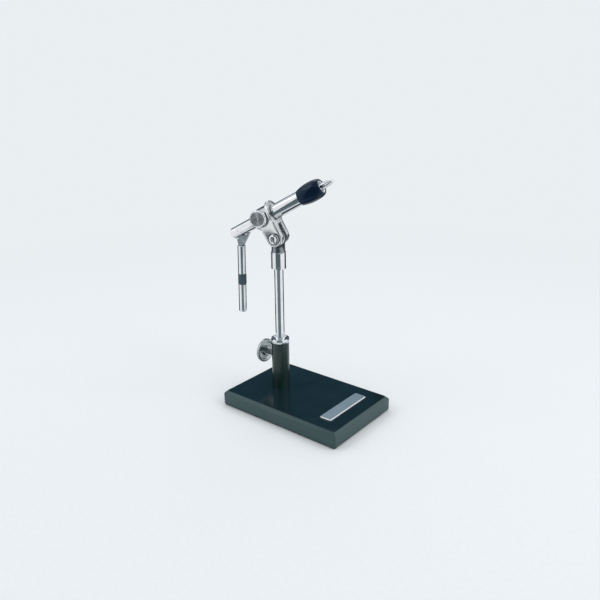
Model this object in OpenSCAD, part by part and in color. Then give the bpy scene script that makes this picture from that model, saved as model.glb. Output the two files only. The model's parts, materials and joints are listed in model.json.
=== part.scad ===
// Fly tying vise on a heavy pedestal base.
// The origin lies on the post's axis, on the face that the base rests on.
// +Z is up, and +X runs along the base towards the end with the small plate.
// The head is drawn in a frame of its own: x runs along the barrel to the jaws,
// y runs away from the side with the knob, and z stands square to both.

/* [Base] */
// Length of the base plate, along X
base_l = 152; // [130:1:180]
// Width of the base plate, along Y
base_w = 102; // [85:1:130]
// Thickness of the base plate
plate_t = 15.5; // [14.5:0.5:22]
// Bevel round the plate's top edge
plate_bevel = 3.3; // [1:0.1:5]
// Radius of the plate's upright corners
plate_corner_r = 2.5; // [1:0.5:8]
// Thickness of the non-slip pad under the plate
foot_t = 1.5; // [1:0.25:3]
// How far the pad stays inside the plate's edges
foot_inset = 1.5; // [0.5:0.5:5]
// Distance from the plate's rear edge to the post's axis
post_setback = 41; // [32:1:60]

/* [Small plate] */
// Length of the small plate, across the base
label_l = 65; // [40:1:75]
// Width of the small plate, along the base
label_w = 14; // [10:0.5:20]
// Thickness of the small plate
label_t = 1.2; // [0.8:0.1:2]
// Distance from the base's front edge to the middle of the small plate
label_setback = 25.7; // [18:0.5:35]
// Bevel round the small plate's top edge
label_bevel = 0.4; // [0.2:0.1:0.7]

/* [Post] */
// Outside diameter of the post tube
post_d = 19.2; // [18:0.2:24]
// Height of the post tube above the base plate
post_h = 52.4; // [46:0.2:70]
// Depth of the post's seat in the base plate
post_seat = 8; // [6:0.5:9]
// Thickness of the post's closed bottom
post_floor = 5.5; // [4:0.5:7]
// Outside diameter of the ring on top of the post
ring_d = 20; // [19.4:0.2:26]
// Height of the ring
ring_h = 4.6; // [4.2:0.2:7]
// Width of the ring's countersunk mouth
ring_mouth_d = 17; // [15:0.5:18]
// Depth of the countersunk mouth
ring_mouth_depth = 3.2; // [2:0.2:3.6]
// Diameter of the ring's spigot in the tube
ring_spigot_d = 14; // [13:0.5:16]
// Length of the ring's spigot
ring_spigot_l = 4; // [3:0.5:6]
// Diameter of the bolt that holds the post
post_bolt_d = 6; // [5:0.5:7]

/* [Thumb screw] */
// Diameter of the knurled knob
thumb_d = 26.5; // [22:0.5:32]
// Thickness of the knob
thumb_t = 4; // [3.5:0.5:7]
// Distance from the post's axis to the knob's inner face
thumb_reach = 20.3; // [18:0.5:28]
// Depth of the screw's axis below the top of the ring
thumb_drop = 21; // [18:0.5:24]
// Number of grooves in the knob's rim
thumb_grooves = 32; // [24:2:48]
// Diameter of the threaded stud
stud_d = 6; // [5:0.5:7]
// Thickness of the pressure pad on the stud's nose
nose_pad_t = 1.5; // [1:0.1:2]

/* [Stem] */
// Diameter of the stem
stem_d = 10; // [9:0.1:11]
// Length of stem that shows between the ring and the sleeve
stem_show = 79; // [60:1:110]
// Length of stem inside the post
stem_in_post = 45; // [36:1:54]
// Length of stem inside the sleeve
stem_in_sleeve = 14; // [11:0.5:15]

/* [Sleeve and tongue] */
// Wall of the sleeve round the stem
sleeve_wall = 3; // [2:0.1:4]
// Length of the sleeve
sleeve_l = 18; // [17:0.5:24]
// Height of the necked shoulder above the sleeve
neck_h = 6; // [4:0.5:8]
// Diameter of the shoulder's upper end
neck_top_d = 13; // [11:0.2:14]
// Height of the tilt pivot above the sleeve
pivot_rise = 15.6; // [15:0.2:22]
// Thickness of the tongue between the ears
tongue_t = 6; // [5:0.2:7]
// Diameter of the tongue's round top
tongue_d = 15; // [13:0.5:16]

/* [Head pose] */
// Turn of the head about the stem, from the base's long axis
head_swing = 17; // [-30:1:45]
// Rise of the barrel above level
head_tilt = 29.2; // [10:0.1:40]
// Distance from the tilt pivot up to the barrel's axis
head_rise = 24.4; // [22:0.2:30]

/* [Clamp housing] */
// Outside diameter of the housing's tube
housing_d = 22; // [20.8:0.2:24]
// How far the housing reaches behind the pivot
housing_rear = 13; // [12.5:0.5:16]
// How far the housing reaches ahead of the pivot
housing_front = 9.5; // [9:0.1:12]
// Diameter of the front flange
flange_d = 26.8; // [25:0.2:30]
// Thickness of the front flange
flange_t = 3; // [2:0.25:4]
// Diameter of the two ears' round ends
ear_d = 17.5; // [16.5:0.1:17.9]
// Width over the two ears
ears_w = 20.6; // [20:0.2:24]
// Gap between an ear and the tongue
ear_gap = 0.1; // [0.05:0.01:0.15]
// Distance from the barrel's axis down to the slot between the ears
slot_drop = 12; // [10.5:0.25:13]
// Bevel on the ears' edges
ear_bevel = 0.7; // [0.3:0.1:1]
// Outside diameter of the bearing bushes
bush_od = 15.6; // [15:0.1:16]
// Length of the rear bush
bush_rear_l = 4.8; // [3:0.2:5]
// Length of the front bush
bush_front_l = 11.2; // [8:0.2:11.4]

/* [Pivot bolt] */
// Diameter of the pivot bolt's shank
pivot_d = 6; // [5:0.5:7]
// Diameter of the bolt's round head
pivot_head_d = 10.8; // [10:0.2:11.4]
// Height of the bolt's head
pivot_head_h = 4.4; // [3.5:0.1:6]
// Diameter of the counterbore in each ear
counterbore_d = 13; // [12.6:0.1:14]
// Depth of the counterbore in each ear
counterbore_depth = 3.2; // [2:0.1:4]
// Thickness of each washer
washer_t = 0.8; // [0.5:0.1:1.2]

/* [Side knob] */
// Diameter of the side knob
side_d = 18.6; // [16:0.2:20]
// Thickness of the side knob
side_t = 3.4; // [3:0.2:6]
// Distance of the knob's axis behind the pivot
side_back = 4.6; // [4.5:0.1:5.4]
// Height of the knob's axis above the barrel's axis
side_up = 1.2; // [0:0.1:1.6]
// Diameter of the knob's stud and brake pad
brake_d = 5; // [4:0.2:5.4]
// Depth of the flat that the knob seats on
spot_depth = 0.9; // [0.8:0.05:1]

/* [Barrel] */
// Diameter of the barrel ahead of the housing
barrel_front_d = 15.2; // [14.4:0.1:16]
// Diameter of the barrel in and behind the housing
barrel_rear_d = 12.7; // [12.2:0.1:13]
// How far the barrel reaches behind the pivot
barrel_back = 44.8; // [43:0.2:52]
// Length of the front barrel that shows
barrel_show = 32.5; // [26:0.5:45]
// Wall of the barrel's threaded front end
spigot_wall = 1.9; // [1.6:0.1:2.2]
// Length of the barrel's threaded front end
spigot_l = 7.5; // [6:0.5:9]

/* [Collar] */
// Length of the black collar
collar_l = 26.6; // [24:0.2:34]
// Radius of the collar at its rear edge
collar_rear_r = 8; // [7.9:0.1:9]
// Greatest radius of the collar
collar_max_r = 10.2; // [9.6:0.1:12]
// Distance from the collar's rear edge to its widest point
collar_max_at = 14; // [10:0.5:16]
// Radius of the collar at its front edge
collar_front_r = 8; // [7.8:0.1:9]
// Outside radius of the bright ring in the collar's nose
nose_r = 6.6; // [6.2:0.1:7]
// Length of the bright ring
nose_l = 4.6; // [3:0.2:6]
// Inside radius of the bright ring
nose_bore_r = 4.8; // [4.7:0.1:5.2]

/* [Jaws] */
// Radius of the jaws inside the collar
jaw_r = 3.9; // [3.5:0.1:4]
// Radius of the jaws at their tip
jaw_tip_r = 1.95; // [1.5:0.05:2.4]
// Length of the jaws ahead of the collar
jaw_show = 12.4; // [9:0.2:18]
// Width of the slit between the jaws at the collar
slit_w = 1.5; // [1:0.1:1.8]
// Width of the slit at the tips
slit_tip_w = 0.24; // [0.16:0.02:0.4]

/* [Push rod] */
// Diameter of the push rod
rod_d = 6; // [5:0.1:6.2]
// Diameter of the chambers at both ends of the barrel
chamber_d = 9.2; // [9:0.1:9.4]
// Wire diameter of the return spring
wire_d = 0.9; // [0.6:0.05:1]
// Turns of the return spring
spring_turns = 7; // [5:1:9]

/* [Lever] */
// Distance from the tilt pivot back to the lever's pin, along the barrel
lever_back = 35.2; // [32:0.2:37]
// Lean of the lever back from square to the barrel
lever_lean = 30.2; // [24:0.1:35]
// Length of the lever from its pin
lever_l = 91.4; // [80:0.2:110]
// Diameter of the lever's rod
grip_d = 8.8; // [8:0.1:11]
// Thickness of the lever's flat tang
tang_t = 5; // [4:0.1:5.4]
// Distance from the pin to the top of the rod
tang_l = 16.6; // [15:0.2:22]
// Distance from the pin to the black band
band_at = 48.2; // [38:0.2:60]
// Length of the black band
band_l = 11.6; // [8:0.2:16]
// Wall of the black band round its stud
band_wall = 1.1; // [0.8:0.1:1.6]
// Radius of the cam on the lever's head
cam_r = 3.5; // [3:0.1:3.6]
// Offset of the cam's centre from the pin
cam_throw = 1; // [0.6:0.1:1.1]
// Diameter of the lever's pin
pin_d = 3; // [2:0.1:3.2]

/* [Hidden] */
$fn = 28;
small_fn = 18;

// Gaps that fits share
run_gap = 0.05;
seat_gap = 0.01;
part_gap = 0.2;
over = 1;

// Edges
fine_bevel = 0.4;
rod_bevel = 0.8;

// Base and post levels
plate_z = foot_t;
base_top = plate_z + plate_t;
base_rear_x = -post_setback;
base_mid_x = base_rear_x + base_l / 2;
label_x = base_rear_x + base_l - label_setback;
post_foot_z = base_top - post_seat;
post_top_z = base_top + post_h;
ring_top_z = post_top_z + ring_h;
bore_floor_z = post_foot_z + post_floor;
stem_bore_d = stem_d + 2 * run_gap;
ring_bore_d = stem_d + 2 * part_gap;

// Post bolt under the base
bolt_head_share = 1.7;
bolt_head_d = post_bolt_d * bolt_head_share;
bolt_head_h = 3;
bolt_head_z = plate_z + part_gap;
bolt_washer_t = 0.6;
bolt_washer_lip = 0.4;
bolt_washer_d = bolt_head_d + 2 * bolt_washer_lip;
bolt_recess_d = bolt_washer_d + 2 * part_gap;
bolt_recess_h = part_gap + bolt_head_h + bolt_washer_t;
bolt_clear_d = post_bolt_d + 2 * part_gap;
bolt_tip_gap = 1;
bolt_shank_l = bore_floor_z - bolt_head_z - bolt_tip_gap;
bolt_key_af = 4;
bolt_key_depth = 1.8;

// Thumb screw
thumb_z = ring_top_z - thumb_drop;
thumb_hub_d = 11;
thumb_hub_l = 2;
thumb_dish_d = 19;
thumb_dish_depth = 1;
thumb_bevel = 0.7;
groove_r = 0.7;
stud_in_knob = 3;
nose_pad_x = stem_d / 2 + 3 * run_gap;
stud_nose_x = nose_pad_x + nose_pad_t + run_gap;

// Stem and socket levels
stem_foot_z = ring_top_z - stem_in_post;
sleeve_z = ring_top_z + stem_show;
stem_l = stem_in_post + stem_show + stem_in_sleeve;
sleeve_top_z = sleeve_z + sleeve_l;
sleeve_d = stem_d + 2 * sleeve_wall;
pivot_z = sleeve_top_z + pivot_rise;
spigot_z = sleeve_z + stem_in_sleeve + 2 * part_gap;
neck_foot_d = sleeve_d - 2 * fine_bevel;
grub_d = 4;
grub_z = sleeve_z + sleeve_l / 2;
grub_key_af = 2;
grub_key_depth = 1;
grub_gap = 0.3;

// Housing
slot_w = tongue_t + 2 * ear_gap;
ear_top_drop = 1;
spot_margin = 0.7;
spot_d = side_d + 2 * spot_margin;
spot_y = housing_d / 2 - spot_depth;
pivot_hole_d = pivot_d + 2 * run_gap;
washer_margin = 0.3;
washer_d = counterbore_d - 2 * washer_margin;
counterbore_y = ears_w / 2 - counterbore_depth;
pivot_head_y = counterbore_y + washer_t;
key_af = 5;
key_depth = 2.4;
nut_af = 10;
nut_t = 4.2;
pivot_end_l = 0.5;
pivot_shank_l = 2 * pivot_head_y + nut_t + pivot_end_l;

// Side knob and brake
side_gap = 0.3;
side_y = spot_y + side_gap;
side_bevel = 0.8;
brake_pad_t = 1.5;
brake_y = barrel_rear_d / 2 + 3 * run_gap;
side_stud_y = brake_y + brake_pad_t + run_gap;
side_stud_in = 2.5;

// Barrel, along x
thrust_gap = 0.3;
shoulder_x = housing_front + thrust_gap;
collar_x = shoulder_x + barrel_show;
spigot_end_x = collar_x + spigot_l;
barrel_bore_d = barrel_rear_d + 2 * run_gap;
clip_t = 1.1;
clip_depth = 0.6;
clip_wall = 1.8;
clip_x = -housing_rear - thrust_gap;
front_bore_d = chamber_d;
spigot_d = front_bore_d + 2 * spigot_wall;

// Push rod, spring and jaws, along x
cam_lead = 20;
cam_angle = lever_lean - cam_lead;
cam_reach = cam_throw + cam_r;
cam_high = cam_r + cam_throw * cos(cam_lead);
rod_rear_x = -lever_back + cam_high + 3 * run_gap;
slot_front_x = -lever_back + cam_reach + 2 * part_gap;
rod_tail_l = 6;
rod_collar_x = rod_rear_x + rod_tail_l;
rod_collar_l = 1.6;
rod_collar_d = chamber_d - 4 * run_gap;
spring_x = rod_collar_x + rod_collar_l + 2 * run_gap;
spring_end_in = 5;
spring_end_x = -housing_rear + spring_end_in;
shoulder_bore_d = rod_d + 2 * run_gap;
jaw_foot_in = 5;
jaw_foot_x = spigot_end_x - jaw_foot_in;
jaw_foot_l = 2;
jaw_foot_r = chamber_d / 2 - 4 * run_gap;
jaw_heel_r = 1;
front_chamber_l = 8;
front_chamber_x = jaw_foot_x - front_chamber_l;
rod_head_l = 2;
collar_front_x = collar_x + collar_l;
jaw_tip_x = collar_front_x + jaw_show;
jaw_tip_round = 0.5;
slit_flat_l = 1.6;
nose_recess = 0.5;
nose_x = collar_front_x - nose_recess - nose_l;
collar_seat_d = spigot_d + 2 * run_gap;
collar_cavity_r = 5.4;

// Lever, in its own frame with the pin as origin
tang_slot_w = tang_t + 6 * run_gap;
slot_roof = cam_reach + part_gap;
neck_half = 3.4;
flare_front = 8.2;
flare_rear = -8.4;
flare_z = -barrel_rear_d / 2 - part_gap;
flare_foot = 2.4;
lever_spigot_d = 5;
lever_spigot_l = 6;
band_stud_d = grip_d - 2 * band_wall;
band_stud_in = 6;
band_stud_l = band_l + band_stud_in;
tip_round = 1.6;
tip_mid_r = grip_d / 2 - tip_round;
tip_l = lever_l - band_at - band_l;
band_rib = 0.25;
band_ribs = 4;
band_step = band_l / (2 * band_ribs);

// Radius of the collar at distance u from its rear edge, as two parabolic arcs
function collar_r(u) = u < collar_max_at
    ? collar_max_r - (collar_max_r - collar_rear_r) * pow((collar_max_at - u) / collar_max_at, 2)
    : collar_max_r - (collar_max_r - collar_front_r)
        * pow((u - collar_max_at) / (collar_l - collar_max_at), 3);

// A point of the head's x and z, measured from the pin, in the lever's own frame
function in_lever(p) = [
    p[0] * cos(lever_lean) - p[1] * sin(lever_lean),
    p[0] * sin(lever_lean) + p[1] * cos(lever_lean)];

// Frames
module head_frame() {
    translate([0, 0, pivot_z]) rotate([0, 0, head_swing]) rotate([0, -head_tilt, 0])
        translate([0, 0, head_rise]) children();
}
module lever_frame() {
    head_frame() translate([-lever_back, 0, 0]) rotate([0, lever_lean, 0]) children();
}
module along_barrel(x) {
    translate([x, 0, 0]) rotate([0, 90, 0]) children();
}
module across(y) {
    translate([0, y, 0]) rotate([-90, 0, 0]) children();
}
module at_pivot() {
    translate([0, 0, -head_rise]) children();
}
module at_side_knob() {
    translate([-side_back, 0, side_up]) children();
}

// Shared shapes
module tube(outer_d, inner_d, h) {
    difference() {
        cylinder(d = outer_d, h = h);
        translate([0, 0, -over]) cylinder(d = inner_d, h = h + 2 * over);
    }
}
module bevelled_rod(d, h, bevel) {
    rotate_extrude() polygon([[0, 0], [d / 2 - bevel, 0], [d / 2, bevel],
        [d / 2, h - bevel], [d / 2 - bevel, h], [0, h]]);
}
module hexagon(across_flats, h) {
    cylinder(d = across_flats / cos(30), h = h, $fn = 6);
}
module bevel_profile(w, h, bevel) {
    polygon([[-w / 2, 0], [w / 2, 0], [w / 2, h - bevel], [w / 2 - bevel, h],
        [-w / 2 + bevel, h], [-w / 2, h - bevel]]);
}
module bevelled_plate(l, w, h, bevel, corner) {
    intersection() {
        linear_extrude(h) {
            square([l, w - 2 * corner], center = true);
            square([l - 2 * corner, w], center = true);
            for (x = [-1, 1], y = [-1, 1])
                translate([x * (l / 2 - corner), y * (w / 2 - corner)]) circle(r = corner, $fn = small_fn);
        }
        rotate([90, 0, 90]) linear_extrude(l + over, center = true) bevel_profile(w, h, bevel);
        rotate([90, 0, 0]) linear_extrude(w + over, center = true) bevel_profile(l, h, bevel);
    }
}

// Base
module base_plate() color([0.07, 0.09, 0.11]) difference() {
    translate([base_mid_x, 0, plate_z])
        bevelled_plate(base_l, base_w, plate_t, plate_bevel, plate_corner_r);
    translate([0, 0, post_foot_z]) cylinder(d = post_d + 2 * seat_gap, h = post_seat + over);
    translate([0, 0, plate_z]) cylinder(d = bolt_clear_d, h = plate_t);
    translate([0, 0, plate_z - over]) cylinder(d = bolt_recess_d, h = bolt_recess_h + over);
}
module base_pad() color([0.12, 0.12, 0.12]) translate([base_mid_x, 0, 0]) linear_extrude(foot_t)
    square([base_l - 2 * foot_inset, base_w - 2 * foot_inset], center = true);
module front_plate() color([0.75, 0.76, 0.78])
    translate([label_x, 0, base_top]) rotate([0, 0, 90])
        bevelled_plate(label_l, label_w, label_t, label_bevel, 2 * label_bevel);

// Post
module post_tube() color([0.10, 0.11, 0.12]) difference() {
    translate([0, 0, post_foot_z]) cylinder(d = post_d, h = post_top_z - post_foot_z);
    translate([0, 0, bore_floor_z]) cylinder(d = stem_bore_d, h = post_top_z);
    translate([0, 0, post_foot_z - over]) cylinder(d = post_bolt_d, h = post_floor + 2 * over);
    translate([0, 0, post_top_z - ring_spigot_l - part_gap])
        cylinder(d = ring_spigot_d + 2 * seat_gap, h = ring_spigot_l + over);
    translate([0, 0, thumb_z]) rotate([0, -90, 0]) cylinder(d = stud_d + 2 * run_gap, h = post_d);
}
module post_ring() color([0.85, 0.86, 0.88]) translate([0, 0, post_top_z]) difference() {
    union() {
        bevelled_rod(ring_d, ring_h, fine_bevel);
        translate([0, 0, -ring_spigot_l]) cylinder(d = ring_spigot_d, h = ring_spigot_l + fine_bevel);
    }
    translate([0, 0, -ring_spigot_l - over])
        cylinder(d = ring_bore_d, h = ring_spigot_l + ring_h + 2 * over);
    rotate_extrude() polygon([[0, ring_h - ring_mouth_depth], [ring_bore_d / 2, ring_h - ring_mouth_depth],
        [ring_mouth_d / 2, ring_h], [ring_mouth_d / 2, ring_h + over], [0, ring_h + over]]);
}
module post_bolt() color([0.35, 0.35, 0.37]) translate([0, 0, bolt_head_z]) difference() {
    union() {
        bevelled_rod(bolt_head_d, bolt_head_h, fine_bevel, $fn = small_fn);
        cylinder(d = post_bolt_d - 2 * seat_gap, h = bolt_shank_l, $fn = small_fn);
    }
    translate([0, 0, -over]) hexagon(bolt_key_af, bolt_key_depth + over);
}
module post_bolt_washer() color([0.7, 0.7, 0.72])
    translate([0, 0, bolt_head_z + bolt_head_h])
        tube(bolt_washer_d, bolt_clear_d, bolt_washer_t, $fn = small_fn);

// Thumb screw, drawn along its own axis from the post outwards
module thumb_axis() {
    translate([0, 0, thumb_z]) rotate([0, -90, 0]) children();
}
module thumb_knob() color([0.45, 0.46, 0.48]) thumb_axis() translate([0, 0, thumb_reach]) difference() {
    rotate_extrude() polygon([[0, -thumb_hub_l], [thumb_hub_d / 2 - fine_bevel, -thumb_hub_l],
        [thumb_hub_d / 2, -thumb_hub_l + fine_bevel], [thumb_hub_d / 2, thumb_dish_depth],
        [thumb_dish_d / 2, thumb_dish_depth], [thumb_dish_d / 2 + thumb_dish_depth, 0],
        [thumb_d / 2 - thumb_bevel, 0], [thumb_d / 2, thumb_bevel],
        [thumb_d / 2, thumb_t - thumb_bevel], [thumb_d / 2 - thumb_bevel, thumb_t],
        [thumb_dish_d / 2, thumb_t], [thumb_dish_d / 2 - thumb_dish_depth, thumb_t - thumb_dish_depth / 2],
        [0, thumb_t - thumb_dish_depth / 2]]);
    translate([0, 0, -thumb_hub_l - over])
        cylinder(d = stud_d + 2 * seat_gap, h = thumb_hub_l + stud_in_knob + over);
    for (i = [0 : thumb_grooves - 1]) rotate([0, 0, 360 * i / thumb_grooves])
        translate([thumb_d / 2 + groove_r / 3, 0, -over])
            cylinder(r = groove_r, h = thumb_t + 2 * over, $fn = 6);
}
module thumb_stud() color([0.6, 0.61, 0.63]) thumb_axis() translate([0, 0, stud_nose_x])
    bevelled_rod(stud_d, thumb_reach + stud_in_knob - stud_nose_x, fine_bevel, $fn = small_fn);
module pressure_pad() color([0.72, 0.58, 0.3]) thumb_axis()
    translate([0, 0, nose_pad_x]) bevelled_rod(stud_d, nose_pad_t, fine_bevel, $fn = small_fn);

// Stem and socket
module stem_rod() color([0.85, 0.86, 0.88])
    translate([0, 0, stem_foot_z]) bevelled_rod(stem_d, stem_l, rod_bevel);
module socket_sleeve() color([0.82, 0.83, 0.85]) difference() {
    translate([0, 0, sleeve_z]) bevelled_rod(sleeve_d, sleeve_l, fine_bevel);
    translate([0, 0, sleeve_z - over]) cylinder(d = stem_bore_d, h = sleeve_l + 2 * over);
    translate([0, 0, grub_z]) rotate([0, 0, head_swing]) across(0) cylinder(d = grub_d, h = sleeve_d);
}
module socket_screw() color([0.3, 0.3, 0.32]) translate([0, 0, grub_z]) rotate([0, 0, head_swing])
    across(stem_d / 2 + grub_gap) difference() {
        cylinder(d = grub_d - 2 * seat_gap, h = sleeve_wall - grub_gap - fine_bevel);
        translate([0, 0, sleeve_wall - grub_gap - fine_bevel - grub_key_depth])
            hexagon(grub_key_af, grub_key_depth + over);
    }
module socket_tongue() color([0.42, 0.43, 0.45]) rotate([0, 0, head_swing]) difference() {
    union() {
        translate([0, 0, spigot_z]) cylinder(d = stem_bore_d - 2 * seat_gap, h = sleeve_top_z - spigot_z);
        translate([0, 0, sleeve_top_z]) rotate_extrude() polygon([[0, 0], [neck_foot_d / 2, 0],
            [neck_foot_d / 2, fine_bevel], [neck_top_d / 2, neck_h], [0, neck_h]]);
        translate([0, 0, pivot_z]) across(-tongue_t / 2) cylinder(d = tongue_d, h = tongue_t);
        translate([-neck_top_d / 2, -tongue_t / 2, sleeve_top_z + fine_bevel])
            cube([neck_top_d, tongue_t, pivot_rise - fine_bevel]);
    }
    translate([0, 0, pivot_z]) across(-tongue_t) cylinder(d = pivot_hole_d, h = 2 * tongue_t);
}

// Clamp housing with its flange and two ears
module ears() {
    at_pivot() {
        rotate([90, 0, 0]) translate([0, 0, -ears_w / 2]) bevelled_rod(ear_d, ears_w, ear_bevel);
        linear_extrude(head_rise - ear_top_drop) polygon([for (sx = [-1, 1], k = [0 : 3])
            let (sy = k < 2 ? -sx : sx, edge = (k == 0 || k == 3))
            [sx * (ear_d / 2 - (edge ? ear_bevel : 0)), sy * (ears_w / 2 - (edge ? 0 : ear_bevel))]]);
    }
}
module clamp_housing() color([0.72, 0.73, 0.75]) head_frame() difference() {
    union() {
        along_barrel(-housing_rear)
            bevelled_rod(housing_d, housing_rear + housing_front - fine_bevel, fine_bevel);
        along_barrel(housing_front - flange_t) bevelled_rod(flange_d, flange_t, fine_bevel);
        ears();
    }
    along_barrel(-housing_rear - over) cylinder(d = bush_od, h = housing_rear + housing_front + 2 * over);
    translate([-ear_d, -slot_w / 2, -2 * head_rise]) cube([2 * ear_d, slot_w, 2 * head_rise - slot_drop]);
    at_pivot() {
        across(-ears_w) cylinder(d = pivot_d, h = 2 * ears_w);
        across(-ears_w) cylinder(d = counterbore_d, h = ears_w - counterbore_y);
        across(counterbore_y) cylinder(d = counterbore_d, h = ears_w);
    }
    at_side_knob() {
        across(-ears_w) cylinder(d = spot_d, h = ears_w - spot_y);
        across(-ears_w) cylinder(d = brake_d + 2 * run_gap, h = ears_w);
    }
}
module bearing(x, l) color([0.62, 0.48, 0.28]) head_frame()
    along_barrel(x) tube(bush_od - 2 * seat_gap, barrel_bore_d, l, $fn = small_fn);
module bearing_rear() bearing(-housing_rear, bush_rear_l);
module bearing_front() bearing(housing_front - bush_front_l, bush_front_l);

// Pivot bolt
module pivot_bolt() color([0.75, 0.76, 0.78]) head_frame() at_pivot() difference() {
    union() {
        rotate([90, 0, 0]) translate([0, 0, pivot_head_y])
            bevelled_rod(pivot_head_d, pivot_head_h, 2 * fine_bevel);
        across(-pivot_head_y) cylinder(d = pivot_d - 2 * seat_gap, h = pivot_shank_l);
    }
    across(-pivot_head_y - pivot_head_h - over) rotate([0, 0, 30]) hexagon(key_af, key_depth + over);
}
module pivot_washers() color([0.8, 0.8, 0.82]) head_frame() at_pivot() {
    across(-pivot_head_y) tube(washer_d, pivot_hole_d, washer_t, $fn = small_fn);
    across(counterbore_y) tube(washer_d, pivot_hole_d, washer_t, $fn = small_fn);
}
module pivot_nut() color([0.7, 0.71, 0.73]) head_frame() at_pivot() across(pivot_head_y) difference() {
    hexagon(nut_af, nut_t);
    translate([0, 0, -over]) cylinder(d = pivot_d, h = nut_t + 2 * over);
}

// Side knob with its stud and brake pad, drawn from the barrel outwards
module side_axis() {
    head_frame() at_side_knob() rotate([90, 0, 0]) children();
}
module side_knob() color([0.5, 0.51, 0.52]) side_axis() translate([0, 0, side_y]) difference() {
    bevelled_rod(side_d, side_t, side_bevel);
    translate([0, 0, -over]) cylinder(d = brake_d + 2 * seat_gap, h = side_stud_in + over);
}
module side_stud() color([0.6, 0.61, 0.63]) side_axis()
    translate([0, 0, side_stud_y]) cylinder(d = brake_d, h = side_y + side_stud_in - side_stud_y);
module brake_pad() color([0.85, 0.84, 0.78]) side_axis()
    translate([0, 0, brake_y]) cylinder(d = brake_d, h = brake_pad_t);

// Barrel
module barrel_tube() color([0.83, 0.84, 0.86]) head_frame() difference() {
    rotate([0, 90, 0]) rotate_extrude() polygon([[0, -barrel_back],
        [barrel_rear_d / 2 - fine_bevel, -barrel_back], [barrel_rear_d / 2, -barrel_back + fine_bevel],
        [barrel_rear_d / 2, clip_x - clip_t], [barrel_rear_d / 2 - clip_depth, clip_x - clip_t],
        [barrel_rear_d / 2 - clip_depth, clip_x], [barrel_rear_d / 2, clip_x],
        [barrel_rear_d / 2, shoulder_x], [barrel_front_d / 2 - fine_bevel, shoulder_x],
        [barrel_front_d / 2, shoulder_x + fine_bevel], [barrel_front_d / 2, collar_x],
        [spigot_d / 2, collar_x], [spigot_d / 2, spigot_end_x], [0, spigot_end_x]]);
    along_barrel(slot_front_x - over) cylinder(d = chamber_d, h = spring_end_x - slot_front_x + over);
    along_barrel(slot_front_x - over) cylinder(d = shoulder_bore_d, h = spigot_end_x - slot_front_x);
    along_barrel(front_chamber_x) cylinder(d = front_bore_d, h = spigot_end_x - front_chamber_x + over);
    translate([-barrel_back - over, -tang_slot_w / 2, -barrel_rear_d])
        cube([barrel_back + over + slot_front_x, tang_slot_w, barrel_rear_d + slot_roof]);
    translate([-lever_back, 0, 0]) across(-barrel_rear_d) cylinder(d = pin_d, h = 2 * barrel_rear_d);
}
module barrel_clip() color([0.35, 0.35, 0.36]) head_frame() along_barrel(clip_x - clip_t)
    tube(barrel_rear_d + clip_wall, barrel_rear_d - 2 * clip_depth, clip_t, $fn = small_fn);
module lever_pin() color([0.6, 0.6, 0.62]) head_frame() translate([-lever_back, 0, 0])
    across(-barrel_rear_d / 2 + fine_bevel)
        cylinder(d = pin_d - 2 * seat_gap, h = barrel_rear_d - 2 * fine_bevel);

// Return spring, one wire swept along a helix
spring_r = (chamber_d + rod_d) / 4;
spring_sides = 5;
spring_steps = 8;
spring_len = spring_end_x - spring_x - wire_d;
function spring_ring(i) = let (
    turn = i / spring_steps,
    x = spring_x + wire_d / 2 + spring_len * turn / spring_turns)
    [for (k = [0 : spring_sides - 1]) let (
        a = 360 * k / spring_sides,
        r = spring_r + wire_d / 2 * cos(a))
        [x + wire_d / 2 * sin(a), r * cos(360 * turn), r * sin(360 * turn)]];
module return_spring() color([0.55, 0.56, 0.58]) head_frame() {
    rings = spring_turns * spring_steps;
    points = [for (i = [0 : rings]) each spring_ring(i)];
    side_faces = [for (i = [0 : rings - 1], k = [0 : spring_sides - 1]) let (
        a = i * spring_sides + k,
        b = i * spring_sides + (k + 1) % spring_sides)
        each [[a, b, b + spring_sides], [a, b + spring_sides, a + spring_sides]]];
    first_cap = [for (k = [spring_sides - 1 : -1 : 0]) k];
    last_cap = [for (k = [0 : spring_sides - 1]) rings * spring_sides + k];
    polyhedron(points = points, faces = concat(side_faces, [first_cap], [last_cap]));
}

// Collar and nose ring
collar_steps = 10;
collar_step = (collar_l - fine_bevel) / collar_steps;
module jaw_collar() color([0.04, 0.05, 0.07]) head_frame() difference() {
    along_barrel(collar_x) rotate_extrude() polygon(concat([[0, 0]],
        [for (i = [0 : collar_steps]) [collar_r(i * collar_step), i * collar_step]],
        [[collar_front_r - 2 * fine_bevel, collar_l], [0, collar_l]]));
    along_barrel(collar_x - over) cylinder(d = collar_seat_d, h = spigot_l + part_gap + over);
    along_barrel(collar_x) cylinder(r = collar_cavity_r, h = collar_l + over);
    along_barrel(nose_x - run_gap) cylinder(r = nose_r + run_gap, h = collar_l);
}
module nose_ring() color([0.88, 0.88, 0.9]) head_frame()
    along_barrel(nose_x) rotate_extrude() polygon([
        [nose_bore_r, 0], [nose_r, 0], [nose_r, nose_l - fine_bevel], [nose_r - fine_bevel, nose_l],
        [nose_bore_r + fine_bevel, nose_l], [nose_bore_r, nose_l - fine_bevel]]);

// Push rod
module push_rod() color([0.65, 0.66, 0.68]) head_frame() {
    rod_head_x = jaw_foot_x - part_gap - rod_head_l;
    rotate([0, 90, 0]) rotate_extrude($fn = small_fn) polygon([[0, rod_rear_x], [rod_d / 2, rod_rear_x],
        [rod_d / 2, rod_collar_x], [rod_collar_d / 2, rod_collar_x],
        [rod_collar_d / 2, rod_collar_x + rod_collar_l], [rod_d / 2, rod_collar_x + rod_collar_l],
        [rod_d / 2, rod_head_x], [rod_collar_d / 2, rod_head_x],
        [rod_collar_d / 2, rod_head_x + rod_head_l], [0, rod_head_x + rod_head_l]]);
}

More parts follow.
